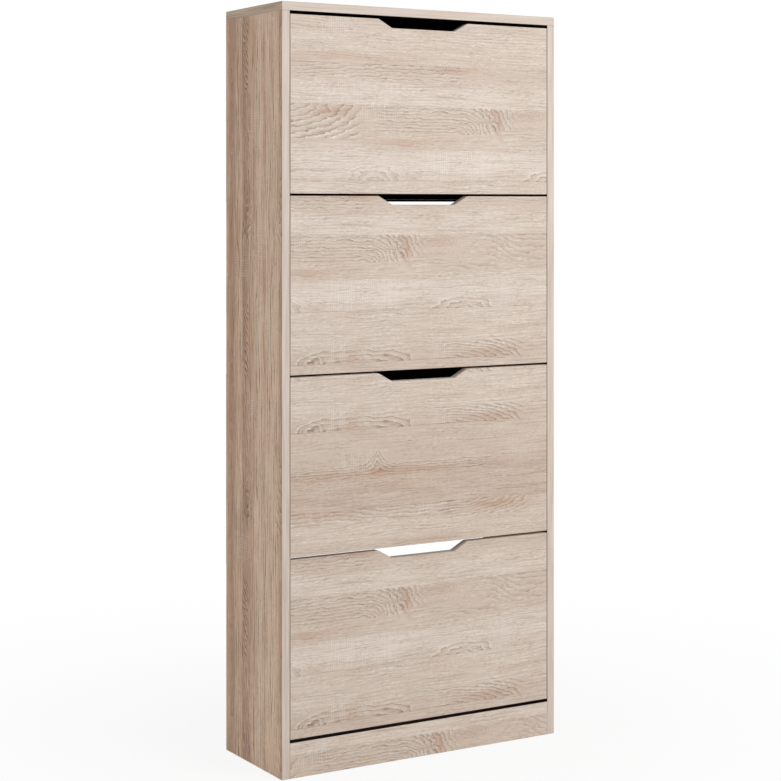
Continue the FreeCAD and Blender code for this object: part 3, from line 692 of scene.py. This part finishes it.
def black_rubber():
    finish = Finish("black_rubber")
    x, y, z = place_of(finish)
    dusty = noise(x + y, z, 2.5, 2.5, 3, 5.0)
    colour = blend(dusty, linear(18, 18, 18), linear(34, 34, 33))
    return finish.close(shine(finish, colour, dusty, dusty * 0.15 + 0.6, 0.08 * MM))


beech, fibre, rubber = beech_wood(), fibre_board(), black_rubber()
print("finishes:", beech.name, fibre.name, rubber.name)

# %% [markdown]
# The carcass's inside faces are painted with shade: a near-black finish with a faint grain, so
# that the gaps and finger notches read as clean black shadow lines.


# %% Painted shade inside the carcass
def painted_shade_finish():
    finish = Finish("painted_shade_finish")
    x, y, z = place_of(finish)
    # near-black that stands in for the shade inside the carcass, with a faint grain and paler specks
    grain = noise(x + y, z, 5.0, 5.0, 3, 7.0)
    specks = step(noise(x - y, z, 0.9, 0.9, 2, 13.0), 0.55, 0.75)
    colour = blend(grain, linear(16, 15, 15), linear(28, 27, 26))
    colour = blend(specks * 0.3, colour, linear(42, 40, 38))
    rough = grain * 0.1 + 0.8
    return finish.close(shine(finish, colour, specks, rough, 0.04 * MM, gloss=0.06))


painted_shade = painted_shade_finish()
print("finish:", painted_shade.name)

# %% [markdown]
# ## Pieces
# Every piece below is mesh code. `settle` turns a mesh into a piece: it gives it its finishes,
# hides the CAD node that it stands for, and hangs it on the body that carries it.


# %% From mesh to piece
def settle(name, mesh_code, body, node, finishes):
    """Make the piece that stands for one CAD node, hide that node, and let body carry the piece."""
    bmesh.ops.recalc_face_normals(mesh_code, faces=mesh_code.faces)
    mesh = bpy.data.meshes.new(name)
    mesh_code.to_mesh(mesh)
    mesh_code.free()
    for finish in finishes:
        mesh.materials.append(finish)
    piece = bpy.data.objects.new(name, mesh)
    bpy.context.scene.collection.objects.link(piece)
    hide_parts(node)
    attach(piece, body)
    return piece


def soften(mesh_code, edges, radius):
    """Round some edges off, and say which faces are the rounding."""
    rounded = bmesh.ops.bevel(
        mesh_code, geom=edges, offset=radius, segments=2, profile=0.5, affect="EDGES"
    )
    for face in rounded["faces"]:
        face.smooth = True
    return set(rounded["faces"])


# %% [markdown]
# A board is a slab with every arris filed to a small radius. Its two broad sides get the face
# finish, its thin sides the band that runs along them, and the rounding the darker arris line.
# The numbers are places in a board's list of finishes, where three bands, for x, y and z, follow
# each other. A face is square to an axis when that part of its normal is over `SQUARE`.


# %% A board
# slot 5 holds the painted shade of the carcass's inside
FACE, ARRIS, BAND, PAINTED_SHADE_SLOT = 0, 1, 2, 5
FILED = 0.4 * MM
SQUARE = 0.999


def fill_box(mesh_code, low, high):
    """A block between two corners, and its edges."""
    made = bmesh.ops.create_cube(mesh_code, size=1)
    size = high - low
    for vert in made["verts"]:
        vert.co = Vector([low[a] + (vert.co[a] + 0.5) * size[a] for a in range(3)])
    return list({edge for vert in made["verts"] for edge in vert.link_edges})


def finish_board(mesh_code, thin, rounding, inner=0):
    """Give each face of a board its finish by the way it looks."""
    for face in mesh_code.faces:
        normal = [abs(part) for part in face.normal]
        looks = normal.index(max(normal))
        if face in rounding or max(normal) < SQUARE:
            face.material_index = ARRIS
        elif looks != thin:
            face.material_index = BAND + (3 - thin - looks)
        # a broad side that looks into the carcass is painted with shade
        elif face.normal[thin] * inner > 0:
            face.material_index = PAINTED_SHADE_SLOT
        else:
            face.material_index = FACE


def shade_upper_edge(mesh_code):
    """Paint shade on a board's upper edge, with the near-black finish of the carcass's inside."""
    for face in mesh_code.faces:
        if face.normal.z > SQUARE:
            face.material_index = PAINTED_SHADE_SLOT


def board(node, body, face, inner=0, shaded_edge=False):
    """A softened board; inner picks a broad side to paint with shade, the flag its upper edge."""
    low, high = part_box(node)
    thin = list(high - low).index(min(high - low))
    mesh_code = bmesh.new()
    rounding = soften(mesh_code, fill_box(mesh_code, low, high), FILED)
    mesh_code.normal_update()
    finish_board(mesh_code, thin, rounding, inner)
    if shaded_edge:
        shade_upper_edge(mesh_code)
    finishes = [face, arris, *bands, painted_shade]
    return settle(f"{node}_board", mesh_code, body, node, finishes)


SHELL = "carcass"
CARCASS_BOARDS = {
    "left_side_panel": (side_faces, 1), "right_side_panel": (side_faces, -1),
    "top_panel": (top_face, -1), "base_panel": (top_face, 1),
    "upper_rear_rail": (shelf_face, -1), "middle_rear_rail": (shelf_face, -1),
    "lower_rear_rail": (shelf_face, -1),
}
for node, (face, inner) in CARCASS_BOARDS.items():
    board(node, SHELL, face, inner)
# the plinth's upper edge, in the gap under the lowest flap, is painted with shade
board("plinth_board", SHELL, plinth_face, shaded_edge=True)
print("boards:", len(CARCASS_BOARDS) + 1)

# %% [markdown]
# A flap is a board with a finger notch in its upper edge: a shallow trough with sloping ends,
# rounded at the lip and at the root. Its outline is drawn once and pushed back through the
# board's thickness.


# %% Flap panels
NOTCH = {"top": 196, "floor": 138, "depth": 16, "lip": 9, "root": 6}
ARC_STEPS = 8


def rounded_corner(before, corner, after, radius):
    """Points of the arc that rounds a corner of an outline."""
    to_before = (before - corner).normalized()
    to_after = (after - corner).normalized()
    half = to_before.angle(to_after) / 2
    middle = corner + (to_before + to_after).normalized() * (radius / math.sin(half))
    start = corner + to_before * (radius / math.tan(half)) - middle
    end = corner + to_after * (radius / math.tan(half)) - middle
    turn = start.angle_signed(end)
    return [
        middle + Matrix.Rotation(-turn * at / ARC_STEPS, 2) @ start for at in range(ARC_STEPS + 1)
    ]


def flap_outline(low, high):
    """The flap seen from the front, corner by corner."""
    lip, floor = NOTCH["top"] / 2 * MM, NOTCH["floor"] / 2 * MM
    sunk = high.z - NOTCH["depth"] * MM
    corners = [
        ((low.x, low.z), 0), ((high.x, low.z), 0), ((high.x, high.z), 0),
        ((lip, high.z), NOTCH["lip"]), ((floor, sunk), NOTCH["root"]),
        ((-floor, sunk), NOTCH["root"]), ((-lip, high.z), NOTCH["lip"]), ((low.x, high.z), 0),
    ]
    points = []
    for at, (corner, radius) in enumerate(corners):
        before = Vector(corners[at - 1][0])
        after = Vector(corners[(at + 1) % len(corners)][0])
        if radius:
            points += rounded_corner(before, Vector(corner), after, radius * MM)
        else:
            points.append(Vector(corner))
    return points


def flap_panel(number):
    """The outline at the front and at the back of the board, with a wall between them."""
    node = f"flap_panel_{number}"
    low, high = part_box(node)
    points = flap_outline(low, high)
    mesh_code = bmesh.new()
    rings = [[mesh_code.verts.new((p.x, y, p.y)) for p in points] for y in (low.y, high.y)]
    for ring in rings:
        mesh_code.faces.new(ring)
    walls = []
    for at in range(len(points)):
        beside = (at + 1) % len(points)
        quad = [rings[0][at], rings[0][beside], rings[1][beside], rings[1][at]]
        walls.append(mesh_code.faces.new(quad))
    bmesh.ops.recalc_face_normals(mesh_code, faces=mesh_code.faces)
    for wall in walls:
        wall.smooth = abs(wall.normal.x) < SQUARE and abs(wall.normal.z) < SQUARE
    rims = [e for e in mesh_code.edges if len({v.co.y for v in e.verts}) == 1]
    rounding = soften(mesh_code, rims, FILED)
    mesh_code.normal_update()
    finish_board(mesh_code, Y, rounding)
    # the notch's slopes and curves are square to no axis, but they carry a band, not an arris
    for face in mesh_code.faces:
        if abs(face.normal.y) < 0.5 and face not in rounding and face.material_index == ARRIS:
            face.material_index = BAND + X
    finishes = [flap_faces[number], arris, *bands]
    name = f"flap_front_{number}"
    return settle(name, mesh_code, f"flap_{number}", node, finishes)


for number in FLAP_CUTS:
    flap_panel(number)
print("flaps:", len(FLAP_CUTS), "points round each:", len(flap_outline(*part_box("flap_panel_1"))))

# %% [markdown]
# The four boards of each rack are thinner, with the same print. The back sheets are brown
# fibre-board, painted with shade on their inside face. They stop a hair short of their nails'
# heads, which stand proud.

# %% Rack boards and back sheets
RACK_BOARDS = {
    "front_shelf": top_face, "rack_divider": shelf_face, "rear_shelf": top_face,
    "rear_lip": shelf_face,
}
for number in FLAP_CUTS:
    for name, face in RACK_BOARDS.items():
        board(f"{name}_{number}", f"flap_{number}", face)

NAIL_PROUD = 0.25 * MM


def back_sheet(node):
    """A sheet of fibre-board; its face towards the front is painted with shade."""
    low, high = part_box(node)
    high.y -= NAIL_PROUD
    mesh_code = bmesh.new()
    soften(mesh_code, fill_box(mesh_code, low, high), FILED)
    mesh_code.normal_update()
    for face in mesh_code.faces:
        # the face towards the front, inside the carcass, is painted with shade; the rest is
        # fibre-board
        face.material_index = int(face.normal.y < -SQUARE)
    return settle(f"{node}_board", mesh_code, SHELL, node, [fibre, painted_shade])


for node in ("upper_back_sheet", "lower_back_sheet"):
    back_sheet(node)
print("rack boards:", len(RACK_BOARDS) * len(FLAP_CUTS), "back sheets: 2")

# %% [markdown]
# ## Fittings
# Screws, nails and cam housings come many at a time, each as one CAD node with many solids. The
# places are read off the node's own mesh: its loose parts are found, and each gives one box.


# %% Where each fitting sits
def loose_parts(node):
    """The lowest and highest corner of each solid of a CAD node."""
    mesh_code = bmesh.new()
    mesh_code.from_mesh(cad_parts[node].data)
    bmesh.ops.remove_doubles(mesh_code, verts=mesh_code.verts, dist=0.001 * MM)
    mesh_code.verts.ensure_lookup_table()
    mesh_code.verts.index_update()
    seen = [False] * len(mesh_code.verts)
    boxes = []
    for start in mesh_code.verts:
        if seen[start.index]:
            continue
        seen[start.index] = True
        reached = [start]
        for vert in reached:
            for edge in vert.link_edges:
                other = edge.other_vert(vert)
                if not seen[other.index]:
                    seen[other.index] = True
                    reached.append(other)
        low = Vector([min(v.co[a] for v in reached) for a in range(3)])
        high = Vector([max(v.co[a] for v in reached) for a in range(3)])
        boxes.append((low, high))
    mesh_code.free()
    return boxes


print("nails:", len(loose_parts("back_sheet_nails")), "cams:", len(loose_parts("cam_housings")))

# %% [markdown]
# Every one of these fittings is turned, with a head that may have a cross recess. So one function
# makes them all: it spins a profile round the axis, then lays a cross-shaped loop in the head and
# sinks it. The profile runs from the rim of the head's top down to the tip.


# %% A turned fitting with a cross recess
TURNS = 24


def ring_of(mesh_code, radius, level):
    """A loop of points round the axis."""
    turn = 2 * math.pi / TURNS
    return [
        mesh_code.verts.new((radius * math.cos(turn * at), radius * math.sin(turn * at), level))
        for at in range(TURNS)
    ]


def sew(mesh_code, one, other):
    """Quads between two loops with as many points."""
    for at in range(len(one)):
        beside = (at + 1) % len(one)
        face = mesh_code.faces.new([one[at], one[beside], other[beside], other[at]])
        face.smooth = True


def cross_loop(mesh_code, reach, half, level):
    """A cross seen from above, twelve points."""
    quarter = [(reach, -half), (reach, half), (half, half)]
    points = []
    for turn in range(4):
        spin = Matrix.Rotation(turn * math.pi / 2, 2)
        points += [spin @ Vector(p) for p in quarter]
    return [mesh_code.verts.new((p.x, p.y, level)) for p in points]


def turned(mesh_code, profile, cross):
    """A shape turned from millimetres down from the plane 0, with its head's top at that plane."""
    rings = [ring_of(mesh_code, radius * MM, -level * MM) for radius, level in profile]
    for one, other in zip(rings, rings[1:]):
        sew(mesh_code, one, other)
    mesh_code.faces.new(rings[-1])
    if not cross:
        mesh_code.faces.new(rings[0])
        return
    reach, half, depth = (n * MM for n in cross)
    top = -profile[0][1] * MM
    lip = cross_loop(mesh_code, reach, half, top)
    floor = cross_loop(mesh_code, reach * 0.72, half * 0.8, top - depth)
    sew(mesh_code, lip, floor)
    mesh_code.faces.new(floor)
    loops = []
    for loop in (rings[0], lip):
        for at, vert in enumerate(loop):
            beside = loop[(at + 1) % len(loop)]
            loops.append(mesh_code.edges.get((vert, beside)) or mesh_code.edges.new((vert, beside)))
    bmesh.ops.triangle_fill(mesh_code, use_beauty=True, edges=loops)


def fittings(node, body, finish, make):
    """One piece with a fitting at each loose part: make gives its shape, spot and direction."""
    mesh_code = bmesh.new()
    for low, high in loose_parts(node):
        before = len(mesh_code.verts)
        head, outward, profile, cross = make(low, high)
        turned(mesh_code, profile, cross)
        turn = Vector((0, 0, 1)).rotation_difference(outward).to_matrix()
        for vert in mesh_code.verts[before:]:
            vert.co = head + turn @ vert.co
    return settle(f"{node}_turned", mesh_code, body, node, [finish])


print("points round a fitting:", TURNS)

# %% [markdown]
# The profiles, in millimetres of radius and depth. A nail has a flat head with an eased rim, a
# rack screw a domed or a sunk head, and a cam housing a wide cross for the screwdriver. A cross
# gives its reach, half the width of its arms, and its depth.

# %% Nails, screws and cam housings
NAIL = [(1.5, 0), (2.0, 0.12), (2.2, 0.4), (2.1, 0.75), (0.75, 0.8), (0.72, 13.4), (0.1, 14.7)]
DOME = [(1.9, 0), (2.9, 0.25), (3.6, 0.9), (3.8, 1.6), (3.6, 2.0), (1.9, 2.05)]
RACK_SHANK = [(1.8, 14), (0.2, 16.4)]
BRACKET_SHANK = [(1.8, 13.5), (0.2, 15.9)]
SUNK = [(2.4, 0), (2.65, 0.15), (2.7, 0.4), (1.5, 1.6), (1.45, 20), (0.2, 22.9)]
CAM = [(6.7, -0.2), (7.1, -0.1), (7.35, 0.3), (7.4, 1.2), (7.4, 11.8), (6.9, 12.3)]
DOME_CROSS, SUNK_CROSS, CAM_CROSS = (1.7, 0.42, 1.2), (1.6, 0.38, 1.0), (4.6, 1.0, 2.6)


def head_at(low, high, axis, way):
    """The middle of the end that looks along axis, way, and that direction."""
    spot = (low + high) / 2
    spot[axis] = high[axis] if way > 0 else low[axis]
    outward = Vector((0, 0, 0))
    outward[axis] = way
    return spot, outward


def nail(low, high):
    return *head_at(low, high, Y, 1), NAIL, None


def rack_screw(low, high):
    """A sunk head in the bracket's plate, or a domed one on its flange."""
    size = high - low
    if size.x > size.y:
        way = 1 if low.x > 0 else -1
        return *head_at(low, high, X, way), SUNK, SUNK_CROSS
    return *head_at(low, high, Y, 1), DOME + RACK_SHANK, DOME_CROSS


def bracket_screw(low, high):
    return *head_at(low, high, Z, -1), DOME + BRACKET_SHANK, DOME_CROSS


def cam_housing(low, high):
    size = list(high - low)
    axis = size.index(min(size))
    way = -1 if axis != X or low.x > 0 else 1
    return *head_at(low, high, axis, way), CAM, CAM_CROSS


fittings("back_sheet_nails", SHELL, bright_steel, nail)
fittings("wall_bracket_screws", SHELL, bright_steel, bracket_screw)
fittings("cam_housings", SHELL, cast_zinc, cam_housing)
for number in FLAP_CUTS:
    fittings(f"rack_screws_{number}", f"flap_{number}", bright_steel, rack_screw)
print("turned pieces:", 3 + len(FLAP_CUTS))

# %% [markdown]
# The closing buffers and the glue blocks are small blocks. The rubber is well rounded, the beech
# only eased.


# %% Buffers and glue blocks
def blocks(node, finish, radius):
    """One piece with a rounded block at each loose part."""
    mesh_code = bmesh.new()
    for low, high in loose_parts(node):
        soften(mesh_code, fill_box(mesh_code, low, high), radius)
    return settle(f"{node}_rounded", mesh_code, SHELL, node, [finish])


blocks("closing_buffers", rubber, 1.4 * MM)
blocks("plinth_glue_blocks", beech, 0.8 * MM)

# %% [markdown]
# The remaining CAD nodes have the right shape already, so they stay and only get their finish.

# %% Finishes of the nodes that stay
STAYING = {
    "cam_bolts": bright_steel, "wooden_dowels": beech, "hinge_pins": bright_steel,
    "guide_pins": bright_steel, "wall_brackets": bright_steel,
}
for number in FLAP_CUTS:
    for side in ("left", "right"):
        STAYING[f"{side}_rack_bracket_{number}"] = moulded_black
for node, finish in STAYING.items():
    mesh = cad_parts[node].data
    mesh.materials.clear()
    mesh.materials.append(finish)
print("nodes that stay:", len(STAYING))

# %% [markdown]
# ## Studio
# The floor is pale and runs out of sight. To the camera it is nearly white, so it has no horizon,
# but it still takes the cabinet's soft shadow and throws light back up.


# %% Floor
WHITE = (1, 1, 1, 1)
CAMERA_RAY, GLOSSY_RAY, TRANSMISSION_RAY = 0, 3, 6
NEAR_MM = 900
FLOOR_HALF = 14.0
FLOOR_DROP = 0.5 * MM


def ray(finish, kind):
    """1 where light is traced for that purpose."""
    return finish.node("ShaderNodeLightPath", out=kind)


def pale_floor():
    """White to the camera, except for a little of its own shade near the cabinet."""
    finish = Finish("pale_floor")
    x, y, _ = place_of(finish)
    worn = noise(x, y, 300, 300, 2, 1.0)
    colour = blend(worn, linear(238, 238, 238), linear(244, 244, 244))
    plain = finish.node("ShaderNodeBsdfDiffuse", None, {"Color": colour})
    glow = finish.node("ShaderNodeEmission", None, {"Color": WHITE, "Strength": 1.0})
    seen = ray(finish, CAMERA_RAY) + ray(finish, GLOSSY_RAY) + ray(finish, TRANSMISSION_RAY)
    near = bump(x, 0, NEAR_MM) * bump(y, 0, NEAR_MM)
    shown = seen * (1 - near * 0.14)
    return finish.close(finish.node("ShaderNodeMixShader", None, {0: shown, 1: plain, 2: glow}))


def floor_plane():
    mesh_code = bmesh.new()
    bmesh.ops.create_grid(mesh_code, x_segments=2, y_segments=2, size=FLOOR_HALF)
    mesh = bpy.data.meshes.new("studio_floor")
    mesh_code.to_mesh(mesh)
    mesh_code.free()
    mesh.materials.append(pale_floor())
    floor = bpy.data.objects.new("studio_floor", mesh)
    bpy.context.scene.collection.objects.link(floor)
    floor.location.z = -FLOOR_DROP
    return floor


floor_plane()
print("floor laid")

# %% [markdown]
# The world is white where the camera sees it, and a quiet grey for everything else, so that it
# fills the shadows without washing the print out.

# %% World
AMBIENT = 0.5
studio = Finish("studio", world=True)
quiet = studio.node("ShaderNodeBackground", None, {"Color": WHITE, "Strength": AMBIENT})
white = studio.node("ShaderNodeBackground", None, {"Color": WHITE, "Strength": 1.0})
seen = ray(studio, CAMERA_RAY).math("MAXIMUM", ray(studio, TRANSMISSION_RAY))
seen = seen.math("MAXIMUM", ray(studio, GLOSSY_RAY))
mixed = studio.node("ShaderNodeMixShader", None, {0: seen, 1: quiet, 2: white})
bpy.context.scene.world = studio.close(mixed)
print("ambient strength:", AMBIENT)

# %% [markdown]
# One large soft lamp stands high to the right of the front and a weaker one fills from the left,
# so the front is the brightest side and the left side a quieter one.


# %% Lamps
def lamp(name, spot, aim, size, power):
    """A square soft lamp at spot that looks at aim; size is in metres and power in watts."""
    light = bpy.data.lights.new(name, "AREA")
    light.shape = "SQUARE"
    light.size = size
    light.energy = power
    holder = bpy.data.objects.new(name, light)
    bpy.context.scene.collection.objects.link(holder)
    holder.location = spot
    holder.rotation_euler = (Vector(aim) - Vector(spot)).to_track_quat("-Z", "Y").to_euler()
    return holder


lamp("key", (1.6, -3.4, 2.2), (0, 0, 0.8), 2.2, 76)
lamp("fill", (-3.4, -1.2, 2.2), (0, 0, 0.7), 2.4, 14)
print("lamps: 2")

# %% [markdown]
# The camera looks level from the left of the front. A long lens and a shift down keep the
# cabinet's upright edges upright. The lens and the sensor are in millimetres, the shift is a
# share of the picture's width, and the turn is in degrees to the right of straight ahead.

# %% Camera
LENS_MM = 88.28
SENSOR_MM = 36
SHIFT = -0.2373
SPOT = (-1.901, -3.1645, 1.033)
TURN = 30.944
view = bpy.data.cameras.new("view")
view.lens = LENS_MM
view.sensor_width = SENSOR_MM
view.shift_y = SHIFT
camera = bpy.data.objects.new("view", view)
bpy.context.scene.collection.objects.link(camera)
camera.location = SPOT
camera.rotation_euler = (math.pi / 2, 0, math.radians(-TURN))
bpy.context.scene.camera = camera
bpy.context.scene.view_settings.view_transform = "Standard"
print("lens:", LENS_MM, "mm")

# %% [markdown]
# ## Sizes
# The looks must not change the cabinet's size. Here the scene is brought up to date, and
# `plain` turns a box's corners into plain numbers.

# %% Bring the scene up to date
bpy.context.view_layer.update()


def plain(box):
    return [[float(n) for n in corner] for corner in box]
